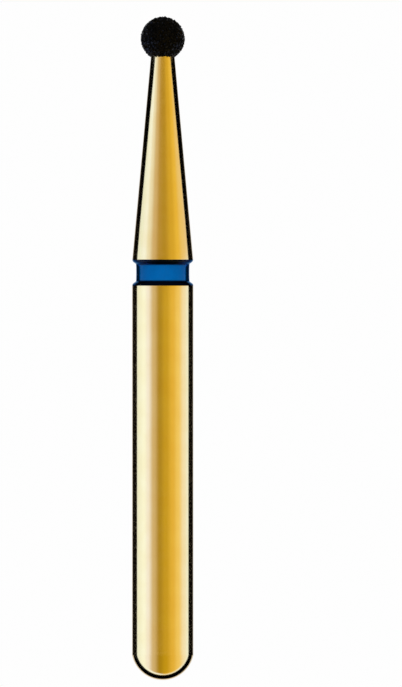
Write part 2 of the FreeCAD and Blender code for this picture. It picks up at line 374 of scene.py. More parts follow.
@dataclass(frozen=True)
class BandLacquer(Finish):
    """Blue lacquer, painted near black as shade along the groove's flanks, where it pools against them
    and climbs them.

    Attributes:
        middle: height of the band's middle.
        half_width: from there to the edges of its flat face.
        colour: the lacquer on its face.
        pooled_shade: painted shade, near black, on the lacquer at the edges of its face and up the
            flanks.
        pooled_shade_width: how far onto the face the painted shade at its edges reaches.
        cloud_size: size of its slightly darker patches.
        cloud: how far the darkest of them goes towards the colour of the painted shade.
        shine: how strongly it mirrors the room.
        sheen: the tint of what it mirrors.
        glance: lean from the eye, 0 square on and 1 edge on, over which a stronger gloss sets in.
        cover: how much of the paint that gloss covers.
        gloss: roughness of the face.
        gloss_drift: how much that changes over the face.
        gloss_size: size of the patches in which it changes.
        brush_pitch: spacing of the faint lines that the brush left.
        brush_drift: how far round the axis such a line runs before it changes.
        brush_depth: depth of those lines.
    """

    name: str = "band_lacquer"
    middle: float = 0.0
    half_width: float = 0.0
    colour: Colour = (0.0, 0.137, 0.46)
    pooled_shade: Colour = (0.0005, 0.002, 0.006)
    pooled_shade_width: float = 0.055 * MM
    cloud_size: float = 0.12 * MM
    cloud: float = 0.06
    shine: float = 0.07
    sheen: Colour = (0.35, 0.6, 1.0)
    glance: Point = (0.44, 0.55)
    cover: float = 0.87
    gloss: float = 0.08
    gloss_drift: float = 0.05
    gloss_size: float = 0.08 * MM
    brush_pitch: float = 0.05 * MM
    brush_drift: float = 1.5 * MM
    brush_depth: float = 0.3 * MICRON

    def dress(self, tree: Tree, shader: bpy.types.Node, effects: Effects) -> None:
        """Sets a glossy paint that goes over to painted shade towards the band's edges and mirrors at a
        glancing angle.
        """
        shader.inputs["Specular IOR Level"].default_value = self.shine
        shader.inputs["Specular Tint"].default_value = (*self.sheen, 1.0)
        height = tree.split(tree.add("ShaderNodeTexCoord").outputs["Object"])["Z"]
        off_middle = tree.math("ABSOLUTE", tree.math("SUBTRACT", height, self.middle))
        # Painted shade: near black over the face's edges and up the flanks, standing in for the groove's
        # shade.
        pooled_shade_share = tree.remap(off_middle, self.half_width - self.pooled_shade_width, self.half_width)
        cloud = self.mottled(tree, effects, self.cloud_size, high=self.cloud)
        share = tree.math("MAXIMUM", pooled_shade_share, cloud)
        tree.fill(shader.inputs["Base Color"], tree.blend(share, self.colour, self.pooled_shade))
        dullest = self.gloss + self.gloss_drift
        gloss = self.mottled(tree, effects, self.gloss_size, self.gloss, dullest)
        tree.fill(shader.inputs["Roughness"], gloss)
        facing = tree.add("ShaderNodeLayerWeight").outputs["Facing"]
        tree.fill(shader.inputs["Metallic"], tree.remap(facing, *self.glance, 0.0, self.cover))
        lines = self.lined(tree, effects, self.brush_pitch, self.brush_drift)
        self.relief(tree, shader, lines, self.brush_depth)


@dataclass(frozen=True)
class HeadFinish(Finish):
    """A near-black surface of the head, with patches of tint and of gloss and a fine relief.

    Attributes:
        colour: its darkest patches.
        pale: its palest.
        cloud_size: size of either.
        shine: how strongly it mirrors the room.
        sheen: the tint of what it mirrors.
        gloss: roughness of its glossiest and of its dullest patches.
        gloss_size: size of those.
        relief_size: size of the bumps or pits in its surface.
        relief_depth: their height.
    """

    colour: Colour = (0.0006, 0.0006, 0.0006)
    pale: Colour = (0.002, 0.002, 0.002)
    cloud_size: float = 0.05 * MM
    shine: float = 0.045
    sheen: Colour = (1.0, 0.74, 0.36)
    gloss: Point = (0.42, 0.6)
    gloss_size: float = 0.03 * MM
    relief_size: float = 0.012 * MM
    relief_depth: float = 1.2 * MICRON

    def dress(self, tree: Tree, shader: bpy.types.Node, effects: Effects) -> None:
        """Sets a dark surface whose tint, gloss and height change over it."""
        shader.inputs["Specular IOR Level"].default_value = self.shine
        shader.inputs["Specular Tint"].default_value = (*self.sheen, 1.0)
        cloud = self.mottled(tree, effects, self.cloud_size)
        tree.fill(shader.inputs["Base Color"], tree.blend(cloud, self.colour, self.pale))
        tree.fill(shader.inputs["Roughness"], self.mottled(tree, effects, self.gloss_size, *self.gloss))
        self.relief(tree, shader, self.mottled(tree, effects, self.relief_size), self.relief_depth)


@dataclass(frozen=True)
class BlackNickel(HeadFinish):
    """The dark plated bond, matt, paler where it has been rubbed and finely nodular."""

    name: str = "black_nickel"


@dataclass(frozen=True)
class BlackDiamond(HeadFinish):
    """Dark crystal grit, each grain a little different and glassy on its faintly etched faces."""

    name: str = "black_diamond"
    pale: Colour = (0.0028, 0.0028, 0.0028)
    cloud_size: float = 0.16 * MM
    shine: float = 0.1
    gloss: Point = (0.12, 0.3)
    gloss_size: float = 0.06 * MM
    relief_size: float = 0.02 * MM
    relief_depth: float = 0.5 * MICRON


@dataclass
class Profile:
    """A half-section that grows corner by corner, to be turned round the axis.

    Attributes:
        step: longest distance between two of its points.
        points: radius and height of each point so far.
    """

    step: float
    points: list[Point] = field(default_factory=list)

    def arc(self, centre: Point, radius: float, start: float, end: float, count: int) -> None:
        """Adds an arc.

        Args:
            centre: radius and height of the arc's centre.
            radius: the arc's own radius.
            start: its first angle, in radians from straight out, growing upwards.
            end: its last angle.
            count: how many pieces it is made of.
        """
        for number in range(count + 1):
            angle = start + (end - start) * number / count
            self.corner(centre[0] + radius * math.cos(angle), centre[1] + radius * math.sin(angle))

    def corner(self, radius: float, height: float) -> None:
        """Adds one point."""
        self.points.append((radius, height))

    def rounded(self, fillets: dict[int, float], count: int = 6) -> list[Point]:
        """Rounds some corners and divides the long stretches between points.

        Args:
            fillets: the fillet's radius for each corner, by its number.
            count: how many pieces a fillet is made of.

        Returns:
            The finished points, in order.
        """
        result: list[Point] = []
        for number, here in enumerate(self.points):
            if number in fillets:
                before, after = self.points[number - 1], self.points[number + 1]
                result.extend(self._fillet(before, here, after, fillets[number], count))
            else:
                result.append(here)
        return self._divided(result)

    @staticmethod
    def _fillet(before: Point, here: Point, after: Point, radius: float, count: int) -> list[Point]:
        """The points of a round corner between two straight stretches."""
        corner = Vector(here)
        back = (Vector(before) - corner).normalized()
        on = (Vector(after) - corner).normalized()
        half = back.angle(on) / 2
        reach = radius / math.tan(half)
        centre = corner + (back + on).normalized() * radius / math.sin(half)
        first = corner + back * reach - centre
        last = corner + on * reach - centre
        turn = first.angle(last)
        points = []
        for number in range(count + 1):
            share = number / count
            mixed = first * math.sin((1 - share) * turn) + last * math.sin(share * turn)
            points.append(tuple(centre + mixed / math.sin(turn)))
        return points

    def _divided(self, points: list[Point]) -> list[Point]:
        """Divides each stretch that is longer than the step."""
        result = [points[0]]
        for start, end in zip(points, points[1:]):
            pieces = max(1, math.ceil(math.dist(start, end) / self.step))
            for number in range(1, pieces + 1):
                share = number / pieces
                radius = start[0] + (end[0] - start[0]) * share
                height = start[1] + (end[1] - start[1]) * share
                result.append((radius, height))
        return result


class Lathe:
    """Turns half-sections into closed meshes.

    Attributes:
        ON_AXIS: radius under which a point counts as on the axis.
        CORNER: angle between two faces from which their edge is crisp.
    """

    ON_AXIS = 1e-9
    CORNER = math.radians(10)

    def __init__(self, segments: int) -> None:
        """Sets how many facets go round the axis."""
        self.segments = segments

    def turn(self, name: str, outline: list[Point], closed: bool) -> bpy.types.Object:
        """Turns an outline round the Z axis.

        Args:
            name: the new object's name.
            outline: radius and height of each point, in order. An open outline starts and ends on the
                axis.
            closed: whether the last point joins the first, as in a ring's section.

        Returns:
            The object, with smooth faces that point outwards and crisp edges at its outline's corners.
        """
        build = bmesh.new()
        rings = [self._ring(build, radius, height) for radius, height in outline]
        pairs = list(zip(rings, rings[1:]))
        if closed:
            pairs.append((rings[-1], rings[0]))
        for lower, upper in pairs:
            self._skin(build, lower, upper)
        bmesh.ops.recalc_face_normals(build, faces=build.faces)
        for face in build.faces:
            face.smooth = True
        for edge in build.edges:
            edge.smooth = edge.calc_face_angle() < self.CORNER
        return new_object(name, new_mesh(name, build))

    def _ring(self, build: bmesh.types.BMesh, radius: float, height: float) -> list[bmesh.types.BMVert]:
        """One round of vertices, or a single one on the axis."""
        if radius < self.ON_AXIS:
            return [build.verts.new((0.0, 0.0, height))]
        turns = (2 * math.pi * number / self.segments for number in range(self.segments))
        places = ((radius * math.cos(turn), radius * math.sin(turn), height) for turn in turns)
        return [build.verts.new(place) for place in places]

    def _skin(
        self, build: bmesh.types.BMesh, lower: list[bmesh.types.BMVert], upper: list[bmesh.types.BMVert]
    ) -> None:
        """Faces between two rounds, either of which may be a single vertex."""
        for number in range(self.segments):
            following = (number + 1) % self.segments
            corners = [lower[number % len(lower)], lower[following % len(lower)]]
            corners += [upper[following % len(upper)], upper[number % len(upper)]]
            build.faces.new(list(dict.fromkeys(corners)))


def settle(piece: bpy.types.Object, slot: Slot, *stands_for: Node) -> None:
    """Puts a finished piece on the bur's body and hides the nodes that it stands for."""
    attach(piece, BODY)
    if stands_for:
        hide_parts(*(node.value for node in stands_for))
    LOG.info("%s: %d faces", piece.name, len(piece.data.polygons))


@dataclass
class TurnedBlank:
    """The gold-plated steel blank, from the domed butt to the ball core.

    Attributes:
        shank_radius: from the frame.
        groove_low: height of the band groove's lower rim.
        groove_width: between the groove's rims.
        groove_depth: from the shank's surface to the groove's floor.
        flank_angle: lean of the groove's flanks out of the square.
        rim_round: radius of the groove's rims.
        rim_pieces: facets along a rim's round.
        butt_height: height of the domed butt.
        neck_length: from the groove's upper rim to the neck's tip.
        neck_tip_radius: the neck where it meets the ball core.
        core_radius: the ball core.
        segments: facets round the axis.
        arc_pieces: facets along the butt's dome and along the core.
        longest_facet: along the straight stretches.
    """

    shank_radius: float
    groove_low: float = 10.35 * MM
    groove_width: float = 0.6 * MM
    groove_depth: float = 0.16 * MM
    flank_angle: float = math.radians(35)
    rim_round: float = 0.1 * MM
    rim_pieces: int = 8
    butt_height: float = 0.65 * MM
    neck_length: float = 5.45 * MM
    neck_tip_radius: float = 0.3 * MM
    core_radius: float = 0.475 * MM
    segments: int = 256
    arc_pieces: int = 36
    longest_facet: float = 0.5 * MM

    @property
    def neck_base(self) -> float:
        """Height of the groove's upper rim."""
        return self.groove_low + self.groove_width

    @property
    def groove_middle(self) -> float:
        """Height halfway between the groove's rims."""
        return self.groove_low + self.groove_width / 2

    @property
    def neck_tip(self) -> float:
        """Height where the neck meets the ball core."""
        return self.neck_base + self.neck_length

    @property
    def head_centre(self) -> float:
        """Height of the ball's centre."""
        return self.neck_tip + math.sqrt(self.core_radius**2 - self.neck_tip_radius**2)

    def neck_radius(self, height: float) -> float:
        """The neck's radius at a height between its ends, or a little beyond them."""
        share = (height - self.neck_base) / self.neck_length
        return self.shank_radius + (self.neck_tip_radius - self.shank_radius) * share

    def flank_run(self, depth: float) -> float:
        """How far in from its rim, along the axis, a flank is at a depth below the shank's surface."""
        return depth * math.tan(self.flank_angle)

    def groove(self) -> list[Point]:
        """The groove's section, from where one rim starts to round to where the other ends."""
        run = self.flank_run(self.groove_depth)
        floor = self.shank_radius - self.groove_depth
        profile = Profile(step=self.neck_length)
        profile.corner(self.shank_radius, self.groove_low - self.groove_width)
        profile.corner(self.shank_radius, self.groove_low)
        profile.corner(floor, self.groove_low + run)
        profile.corner(floor, self.neck_base - run)
        profile.corner(self.shank_radius, self.neck_base)
        profile.corner(self.neck_radius(self.neck_tip), self.neck_tip)
        return profile.rounded({1: self.rim_round, 4: self.rim_round}, self.rim_pieces)[1:-1]

    def outline(self) -> list[Point]:
        """The blank's half-section, from the butt to the top of the core."""
        dome = (self.shank_radius**2 + self.butt_height**2) / (2 * self.butt_height)
        reach = math.atan2(self.shank_radius, dome - self.butt_height)
        profile = Profile(step=self.longest_facet)
        profile.arc((0.0, dome), dome, -math.pi / 2, reach - math.pi / 2, self.arc_pieces)
        profile.points[0] = (0.0, 0.0)
        profile.points.extend(self.groove())
        junction = math.asin(self.neck_tip_radius / self.core_radius)
        core = (0.0, self.head_centre)
        profile.arc(core, self.core_radius, junction - math.pi / 2, math.pi / 2, self.arc_pieces)
        profile.points[-1] = (0.0, self.head_centre + self.core_radius)
        return profile.rounded({})

    def build(self, plating: bpy.types.Material) -> None:
        """Turns the blank and plates it with the gold finish."""
        piece = Lathe(self.segments).turn("blank", self.outline(), closed=False)
        piece.data.materials.append(plating)
        settle(piece, Slot.PLATING, Node.BLANK)


@dataclass
class ColourBand:
    """The lacquer ring in the blank's groove, with a thin film that climbs both flanks and rims.

    Attributes:
        blank: the blank whose groove it fills.
        radius: edge of its face, from the frame.
        dip: how far its face dips in the middle.
        bare_pieces: how many facets of a rim's round the film leaves bare.
        film: thickness of the film.
        meniscus: radius of the bend between film and face.
        face_points: points across the dipped face.
        longest_facet: in the section.
    """

    blank: TurnedBlank
    radius: float
    dip: float = 0.006 * MM
    bare_pieces: int = 1
    film: float = 0.002 * MM
    meniscus: float = 0.035 * MM
    face_points: int = 7
    longest_facet: float = 0.1 * MM

    @property
    def half_face(self) -> float:
        """From the band's middle to where its face meets the film on a flank."""
        blank = self.blank
        run = blank.flank_run(blank.shank_radius - self.radius) + self.film / math.cos(blank.flank_angle)
        return blank.groove_width / 2 - run

    def outline(self) -> list[Point]:
        """The ring's closed section: down one flank and up the other, film, dipped face and film."""
        blank = self.blank
        wetted = blank.groove()[self.bare_pieces : -self.bare_pieces]
        rim = blank.rim_pieces - self.bare_pieces
        profile = Profile(step=self.longest_facet, points=list(wetted))
        profile.points.extend(reversed(self._filmed(wetted[-rim - 1 :])[:-1]))
        first = len(profile.points)
        for number in range(self.face_points + 2):
            across = 1 - 2 * number / (self.face_points + 1)
            dip = self.dip * (1 - across**2)
            profile.corner(self.radius - dip, blank.groove_middle + across * self.half_face)
        last = len(profile.points) - 1
        profile.points.extend(reversed(self._filmed(wetted[: rim + 1])[1:]))
        return profile.rounded({first: self.meniscus, last: self.meniscus})

    def _filmed(self, wetted: list[Point]) -> list[Point]:
        """The film's outside over a stretch of the blank's section that runs upwards."""
        neighbours = zip([wetted[0], *wetted], wetted, [*wetted[1:], wetted[-1]])
        result = []
        for before, here, after in neighbours:
            along = (Vector(after) - Vector(before)).normalized()
            result.append((here[0] + along.y * self.film, here[1] - along.x * self.film))
        return result

    def build(self, lacquer: bpy.types.Material) -> None:
        """Turns the ring and gives it the blue lacquer."""
        piece = Lathe(self.blank.segments).turn("colour_band", self.outline(), closed=True)
        piece.data.materials.append(lacquer)
        settle(piece, Slot.LACQUER, Node.RING)


class Modelling:
    """Geometry Nodes trees that are run once on a piece and leave a plain mesh."""

    @staticmethod
    def tree(name: str, inputs: dict[str, str]) -> bpy.types.NodeTree:
        """Makes a geometry tree with a Geometry input and output and the named inputs.

        Args:
            name: the tree's name.
            inputs: the socket type of each further input, by name.

        Returns:
            The tree, with its sockets and no nodes.
        """
        made = bpy.data.node_groups.new(name, "GeometryNodeTree")
        made.interface.new_socket("Geometry", in_out="INPUT", socket_type="NodeSocketGeometry")
        for label, kind in inputs.items():
            made.interface.new_socket(label, in_out="INPUT", socket_type=kind)
        made.interface.new_socket("Geometry", in_out="OUTPUT", socket_type="NodeSocketGeometry")
        return made

    @staticmethod
    def run(
        piece: bpy.types.Object, tree: bpy.types.NodeTree, values: dict[str, Any], name: str
    ) -> bpy.types.Object:
        """Runs a tree on a piece and makes the result an object of its own.

        Args:
            piece: the object whose mesh goes in.
            tree: the geometry tree.
            values: a value for each of the tree's inputs, by name.
            name: the new object's name.

        Returns:
            A new object that holds the result as a plain mesh.
        """
        modifier = piece.modifiers.new(tree.name, "NODES")
        modifier.node_group = tree
        for item in tree.interface.items_tree:
            if item.in_out == "INPUT" and item.name in values:
                modifier[item.identifier] = values[item.name]
        evaluated = piece.evaluated_get(bpy.context.evaluated_depsgraph_get())
        mesh = bpy.data.meshes.new_from_object(evaluated)
        piece.modifiers.remove(modifier)
        mesh.name = name
        return new_object(name, mesh)

    @staticmethod
    def hand_out(tree: Tree, geometry: Socket, finish: Socket) -> None:
        """Ends a tree: instances become real, get their material and leave by its output."""
        real = tree.add("GeometryNodeRealizeInstances", {"Geometry": geometry}).outputs[0]
        dressed = tree.add("GeometryNodeSetMaterial", {"Geometry": real, "Material": finish})
        tree.add("NodeGroupOutput", {"Geometry": dressed.outputs[0]})


@dataclass
class GritHead:
    """The ball: a plated bond that climbs round every grain, and fine grit between the large grains.

    Attributes:
        blank: the blank that carries the head.
        bond_radius: outside of the plated bond, from the frame.
        climb: how high the bond rises against a grain.
        climb_reach: how far from a grain it has fallen to a third of that.
        nodule: height of the bond's own fine relief.
        nodule_size: size of a nodule of that relief.
        chip_size: the fine grit's usual size.
        chip_spread: smallest and largest stretch of a chip, as shares of its size.
        chip_spacing: least distance between two chips.
        chip_density: chips for each square of that spacing, before they are thinned out.
        chip_clearance: least distance from a chip's centre to a large grain.
        outside_share: share of the bond's radius from which a point counts as on its outside.
        segments: facets round the axis.
        outer_pieces: facets along the bond's outside, from pole to neck.
        inner_pieces: facets along its inside, on the core.
        seed: fixes the fine grit's scatter.
        SHARED_INPUTS: socket types of the inputs that both of its trees have.
        NODULE_DETAIL: octaves of noise in the bond's relief.
        CRYSTAL: settings of a sphere so coarse that it is an octahedron, one unit across.
    """

    SHARED_INPUTS = {
        "Grains": "NodeSocketObject",
        "Centre": "NodeSocketVector",
        "Radius": "NodeSocketFloat",
        "Finish": "NodeSocketMaterial",
    }
    NODULE_DETAIL = 2.0
    CRYSTAL = {"Segments": 4, "Rings": 2, "Radius": 0.5}

    blank: TurnedBlank
    bond_radius: float
    climb: float = 0.014 * MM
    climb_reach: float = 0.012 * MM
    nodule: float = 0.004 * MM
    nodule_size: float = 0.03 * MM
    chip_size: float = 0.076 * MM
    chip_spread: Point = (0.8, 1.2)
    chip_spacing: float = 0.036 * MM
    chip_density: float = 1.2
    chip_clearance: float = 0.012 * MM
    outside_share: float = 0.97
    segments: int = 320
    outer_pieces: int = 150
    inner_pieces: int = 30
    seed: int = 7

    def outline(self) -> list[Point]:
        """The bond's section: outside of the ball, down to the neck, and back up inside on the core."""
        centre = self.blank.head_centre
        low = self._meets_neck()
        outer = math.atan2(low - centre, self.blank.neck_radius(low))
        inner = math.asin(self.blank.neck_tip_radius / self.blank.core_radius) - math.pi / 2
        profile = Profile(step=self.bond_radius)
        profile.arc((0.0, centre), self.bond_radius, math.pi / 2, outer, self.outer_pieces)
        profile.points[0] = (0.0, centre + self.bond_radius)
        profile.arc((0.0, centre), self.blank.core_radius, inner, math.pi / 2, self.inner_pieces)
        profile.points[-1] = (0.0, centre + self.blank.core_radius)
        return profile.points

    def _meets_neck(self) -> float:
        """Height where the bond's ball meets the neck: the lower root of their quadratic."""
        blank = self.blank
        taper = (blank.neck_tip_radius - blank.shank_radius) / blank.neck_length
        at_centre = blank.neck_radius(blank.head_centre)
        square = 1 + taper**2
        linear = at_centre * taper
        rest = at_centre**2 - self.bond_radius**2
        return blank.head_centre - (linear + math.sqrt(linear**2 - square * rest)) / square

    def _shared_nodes(self, tree: Tree) -> dict[str, Socket]:
        """Adds what both of the head's trees start from.

        Args:
            tree: the geometry tree under construction.

        Returns:
            The tree's inputs by name, and with them Place, the point at hand, Outward, its place from
            the ball's centre, Outside, whether it is on the bond's outside, and Gap, how far it is from
            the nearest large grain.
        """
        found = {socket.name: socket for socket in tree.add("NodeGroupInput").outputs if socket.name}
        grains = tree.add("GeometryNodeObjectInfo", {"Object": found["Grains"]}).outputs["Geometry"]
        found["Place"] = tree.add("GeometryNodeInputPosition").outputs[0]
        found["Outward"] = tree.vector("SUBTRACT", found["Place"], found["Centre"])
        span = tree.vector("LENGTH", found["Outward"], output="Value")
        skin = tree.math("MULTIPLY", found["Radius"], self.outside_share)
        found["Outside"] = tree.math("GREATER_THAN", span, skin)
        near = tree.add("GeometryNodeProximity", {0: grains}, target_element="FACES")
        found["Gap"] = near.outputs["Distance"]
        return found

    def _bond_tree(self) -> bpy.types.NodeTree:
        """Raises the bond's outside round each grain and roughens it."""
        numbers = dict.fromkeys(("Climb", "Reach", "Nodule"), "NodeSocketFloat")
        made = Modelling.tree("plated_bond", {**self.SHARED_INPUTS, **numbers})
        tree = Tree(made)
        given = self._shared_nodes(tree)
        steps = tree.math("DIVIDE", given["Gap"], given["Reach"])
        fall = tree.math("EXPONENT", tree.math("MULTIPLY", steps, -1.0))
        raised = tree.math("MULTIPLY", fall, given["Climb"])
        noise = tree.noise(given["Place"], 1 / self.nodule_size, self.NODULE_DETAIL)
        rough = tree.math("MULTIPLY", tree.math("SUBTRACT", noise, 0.5), given["Nodule"])
        outward = tree.vector("NORMALIZE", given["Outward"])
        move = tree.scaled(outward, tree.math("ADD", raised, rough))
        moved = tree.add(
            "GeometryNodeSetPosition",
            {"Geometry": given["Geometry"], "Selection": given["Outside"], "Offset": move},
        ).outputs[0]
        Modelling.hand_out(tree, moved, given["Finish"])
        return made

    def _chip_tree(self) -> bpy.types.NodeTree:
        """Scatters fine crystals over the bond, clear of the large grains."""
        numbers = dict.fromkeys(("Size", "Spacing", "Clearance"), "NodeSocketFloat")
        made = Modelling.tree("fine_grit", {**self.SHARED_INPUTS, **numbers, "Seed": "NodeSocketInt"})
        tree = Tree(made)
        given = self._shared_nodes(tree)
        square = tree.math("POWER", given["Spacing"], 2.0)
        points = tree.add(
            "GeometryNodeDistributePointsOnFaces",
            {
                "Mesh": given["Geometry"],
                "Selection": given["Outside"],
                "Distance Min": given["Spacing"],
                "Density Max": tree.math("DIVIDE", self.chip_density, square),
                "Seed": given["Seed"],
            },
            distribute_method="POISSON",
        ).outputs["Points"]
        crowded = tree.math("LESS_THAN", given["Gap"], given["Clearance"])
        free = tree.add("GeometryNodeDeleteGeometry", {"Geometry": points, "Selection": crowded})
        crystal = tree.add("GeometryNodeMeshUVSphere", self.CRYSTAL)
        turn = self._random(tree, given["Seed"], 0.0, math.tau)
        stretch = self._random(tree, given["Seed"], *self.chip_spread)
        placed = tree.add(
            "GeometryNodeInstanceOnPoints",
            {
                "Points": free.outputs[0],
                "Instance": crystal.outputs["Mesh"],
                "Rotation": turn,
                "Scale": tree.scaled(stretch, given["Size"]),
            },
        ).outputs[0]
        Modelling.hand_out(tree, placed, given["Finish"])
        return made

    @staticmethod
    def _random(tree: Tree, seed: Socket, low: float, high: float) -> Socket:
        """Adds a random vector with each of its parts between two numbers and returns its output."""
        return tree.add(
            "FunctionNodeRandomValue",
            {0: (low, low, low), 1: (high, high, high), "Seed": seed},
            data_type="FLOAT_VECTOR",
        ).outputs[0]

    def build(
        self, grains: bpy.types.Object, bond_finish: bpy.types.Material, grit_finish: bpy.types.Material
    ) -> None:
        """Builds the bond and the fine grit, and gives the frame's grains their finish.

        Args:
            grains: the frame's node of large grains.
            bond_finish: the plated bond's material.
            grit_finish: the crystals' material.
        """
        centre = Vector((0.0, 0.0, self.blank.head_centre))
        shell = Lathe(self.segments).turn("bond_section", self.outline(), closed=False)
        shared = {"Grains": grains, "Centre": centre, "Radius": self.bond_radius}
        bond_values = {
            **shared,
            "Climb": self.climb,
            "Reach": self.climb_reach,
            "Nodule": self.nodule,
            "Finish": bond_finish,
        }
        chip_values = {
            **shared,
            "Size": self.chip_size,
            "Spacing": self.chip_spacing,
            "Clearance": self.chip_clearance,
            "Seed": self.seed,
            "Finish": grit_finish,
        }
        bond = Modelling.run(shell, self._bond_tree(), bond_values, "plated_bond")
        chips = Modelling.run(shell, self._chip_tree(), chip_values, "fine_grit")
        bpy.data.objects.remove(shell)
        settle(bond, Slot.BOND, Node.BOND)
        settle(chips, Slot.GRIT)
        for slot in grains.material_slots:
            slot.material = grit_finish


@dataclass(frozen=True)
class Stop:
    """One stop of the studio's wall of light.

    Attributes:
        bearing: degrees round from the camera's side, growing to the camera's right.
        light: the light that comes from there.
    """

    bearing: float
    light: Colour


@dataclass
class Wall:
    """The wall of light that the bur mirrors: a cool card on each side and a dim warm gap ahead.

    Attributes:
        stops: the light all round at the bur's level, in order of bearing.
        high_stops: the same a little above it, where the neck looks.
        level: elevations, in degrees, over which the first turns into the second.
        brightest: the most that any stop holds.
        behind: degrees from straight behind over which the wall goes over to the plain bearing.
    """

    stops: tuple[Stop, ...] = (
        Stop(-180.0, (0.8, 0.82, 0.85)),
        Stop(-135.0, (0.6, 0.62, 0.7)),
        Stop(-108.0, (0.92, 1.3, 2.7)),
        Stop(-74.0, (1.03, 1.46, 3.2)),
        Stop(-58.0, (0.97, 1.27, 3.0)),
        Stop(-35.0, (0.67, 0.66, 0.75)),
        Stop(-12.0, (0.42, 0.335, 0.03)),
        Stop(12.0, (0.58, 0.475, 0.04)),
        Stop(38.0, (0.82, 0.68, 0.19)),
        Stop(60.0, (0.93, 0.88, 0.54)),
        Stop(88.0, (0.96, 1.16, 2.0)),
        Stop(110.0, (0.93, 1.3, 2.7)),
        Stop(135.0, (0.6, 0.62, 0.7)),
        Stop(180.0, (0.8, 0.82, 0.85)),
    )
    high_stops: tuple[Stop, ...] = (
        Stop(-180.0, (0.8, 0.82, 0.85)),
        Stop(-135.0, (0.6, 0.62, 0.7)),
        Stop(-108.0, (0.88, 1.25, 2.6)),
        Stop(-74.0, (0.98, 1.37, 3.1)),
        Stop(-57.0, (0.88, 1.1, 2.0)),
        Stop(-35.0, (0.66, 0.64, 0.72)),
        Stop(-12.0, (0.45, 0.355, 0.1)),
        Stop(5.0, (0.43, 0.33, 0.02)),
        Stop(38.0, (0.7, 0.56, 0.1)),
        Stop(62.0, (0.86, 0.72, 0.2)),
        Stop(88.0, (0.88, 0.84, 0.7)),
        Stop(110.0, (0.85, 0.85, 1.0)),
        Stop(135.0, (0.6, 0.62, 0.7)),
        Stop(180.0, (0.8, 0.82, 0.85)),
    )
    level: Point = (2.5, 5.5)
    brightest: float = 4.0
    behind: Point = (60.0, 80.0)

    def glow(self, tree: Tree, seen: Socket, rise: Socket, bearing: Socket) -> Socket:
        """Adds the wall's light for the direction that a ray goes in.

        A mirror that leans by half the bearing shows that part of the wall to the camera. The wall is
        laid out by that lean, so its bands stay upright on the shank, on the neck and on the domed butt
        alike. Towards straight behind it goes over to the plain bearing.

        Args:
            tree: the world's tree.
            seen: the ray's direction.
            rise: its elevation, in radians.
            bearing: its bearing, in radians.

        Returns:
            The light's output.
        """
        lean = tree.vector("NORMALIZE", tree.vector("SUBTRACT", seen, (0.0, 1.0, 0.0)))
        by_lean = tree.math("MULTIPLY", tree.math("ARCSINE", tree.split(lean)["X"]), 2.0)
        off_back = tree.math("ARCCOSINE", tree.split(seen)["Y"])
        behind = tree.remap(off_back, *map(math.radians, self.behind), 1.0, 0.0)
        place = tree.math("MULTIPLY_ADD", behind, tree.math("SUBTRACT", bearing, by_lean), by_lean)
        share = tree.math("ADD", tree.math("DIVIDE", place, math.tau), 0.5)
        height = tree.remap(rise, *map(math.radians, self.level))
        low, high = (self._band(tree, share, stops) for stops in (self.stops, self.high_stops))
        light = tree.blend(height, low, high)
        return tree.vector("MULTIPLY", light, (self.brightest,) * 3)

    def _band(self, tree: Tree, share: Socket, stops: tuple[Stop, ...]) -> Socket:
        """Adds a ramp with the stops, scaled down to what a ramp may hold, and returns its colour."""
        node = tree.add("ShaderNodeValToRGB", {"Fac": share})
        ramp = node.color_ramp
        ramp.interpolation = "EASE"
        while len(ramp.elements) > 1:
            ramp.elements.remove(ramp.elements[-1])
        for number, stop in enumerate(stops):
            position = stop.bearing / 360 + 0.5
            element = ramp.elements[0] if number == 0 else ramp.elements.new(position)
            element.position = position
            element.color = (*(level / self.brightest for level in stop.light), 1.0)
        return node.outputs["Color"]


@dataclass
class Flags:
    """Dark flags behind the bur, which draw the dark lines along its edges. Angles are in degrees.

    Attributes:
        reach: how far they reach round from straight behind.
        gap: angles from straight behind over which the gap between the two flags closes.
        gap_cover: how much of the light the gap takes.
        bottom: where their lower edge starts, by elevation.
        top: where their upper edge ends.
        fade: how softly each of their edges fades.
        light: the light that they leave.
    """

    reach: float = 66.0
    gap: Point = (14.0, 25.0)
    gap_cover: float = 0.15
    bottom: float = -4.0
    top: float = 10.0
    fade: float = 1.5
    light: Colour = (0.003, 0.003, 0.003)

    def cover(self, tree: Tree, rise: Socket, bearing: Socket) -> Socket:
        """Adds the share of the light that the flags take.

        Args:
            tree: the world's tree.
            rise: elevation of the ray's direction, in radians.
            bearing: its bearing, in radians.

        Returns:
            The share's output.
        """
        off_back = tree.math("SUBTRACT", math.pi, tree.math("ABSOLUTE", bearing))
        reach = math.radians(self.reach)
        fade = math.radians(self.fade)
        inside = tree.remap(off_back, reach - fade / 2, reach + fade / 2, 1.0, 0.0)
        closed = tree.remap(off_back, *map(math.radians, self.gap), self.gap_cover, 1.0)
        over = tree.remap(rise, math.radians(self.bottom), math.radians(self.bottom) + fade)
        under = tree.remap(rise, math.radians(self.top) - fade, math.radians(self.top), 1.0, 0.0)
        across = tree.math("MULTIPLY", inside, closed)
        return tree.math("MULTIPLY", across, tree.math("MULTIPLY", over, under))


class Card:
    """A black card near the bur that only mirrored light shows."""

    @staticmethod
    def put_up(name: str, build: bmesh.types.BMesh, black: bpy.types.Material) -> None:
        """Makes a card of a finished sheet and hides it from all but mirrored light.

        Args:
            name: the card's name.
            build: its sheet, which is used up.
            black: its material.
        """
        mesh = new_mesh(name, build)
        mesh.materials.append(black)
        card = new_object(name, mesh)
        card.visible_camera = False
        card.visible_diffuse = False
        card.visible_shadow = False

    @staticmethod
    def black(tree: Tree) -> Socket:
        """Adds a surface that gives no light back and returns its output."""
        return tree.add("ShaderNodeBsdfDiffuse", {"Color": (0.0, 0.0, 0.0)}).outputs[0]


